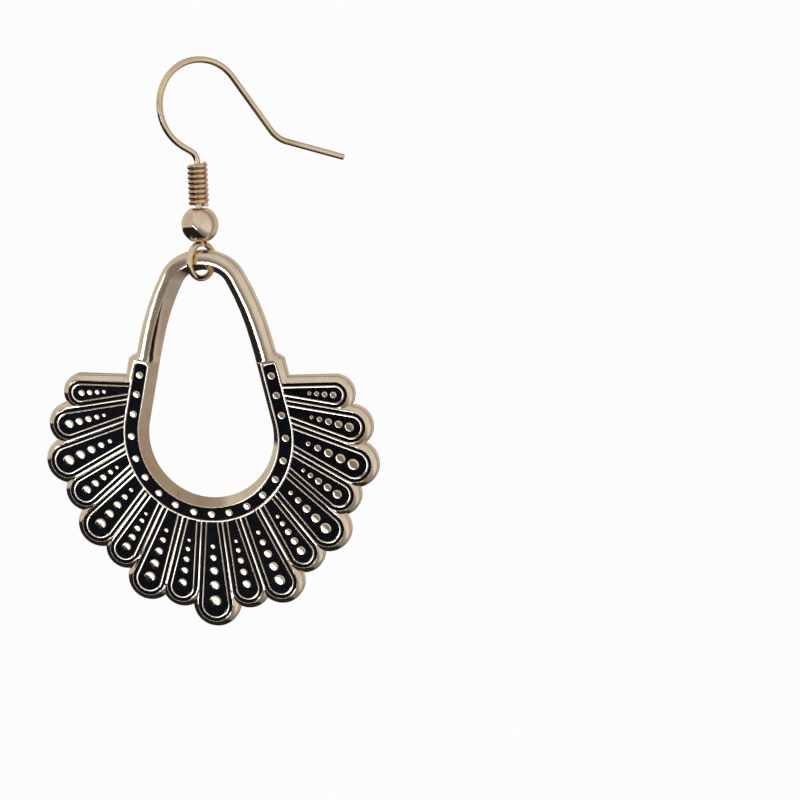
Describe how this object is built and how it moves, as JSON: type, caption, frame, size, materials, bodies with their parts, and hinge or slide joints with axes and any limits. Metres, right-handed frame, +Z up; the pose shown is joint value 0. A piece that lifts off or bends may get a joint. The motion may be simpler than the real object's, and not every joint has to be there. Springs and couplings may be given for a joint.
{
  "type": "dangle earring",
  "caption": "Fish-hook dangle earring with a coil, a ball bead and an open teardrop pendant whose collar carries a fan of black enamelled petals with metal studs.",
  "frame": {"origin": "under the top of the hook's arch, where the ear lobe carries the earring", "axes": "+Z up as it hangs, the pendant's enamelled face towards -Y, +X to the right of that face"},
  "size_m": [0.0325, 0.0108, 0.054],
  "materials": {
    "hook_metal": "polished antique bronze plating",
    "pendant_metal": "polished pale antique gold plating",
    "enamel": "glossy black enamel"
  },
  "bodies": {
    "hook": {"ear_hook": "hook_metal", "wire_coil": "hook_metal", "ball_bead": "pendant_metal"},
    "pendant": {"pendant_frame": "pendant_metal", "collar_enamel": "enamel", "petal_enamel_1": "enamel", "petal_enamel_2": "enamel", "petal_enamel_3": "enamel", "petal_enamel_4": "enamel", "petal_enamel_5": "enamel", "petal_enamel_6": "enamel", "petal_enamel_7": "enamel", "petal_enamel_8": "enamel", "petal_enamel_9": "enamel", "petal_enamel_10": "enamel", "petal_enamel_11": "enamel", "petal_enamel_12": "enamel", "petal_enamel_13": "enamel", "petal_enamel_14": "enamel", "petal_enamel_15": "enamel", "petal_enamel_16": "enamel", "petal_enamel_17": "enamel"}
  },
  "joints": [
    {"name": "pendant_swing", "type": "hinge", "parent": "hook", "child": "pendant", "pos_m": [-0.00048, -0.00034, -0.01796], "axis": [0.8829, -0.4695, 0], "range_deg": [-80, 80]}
  ]
}
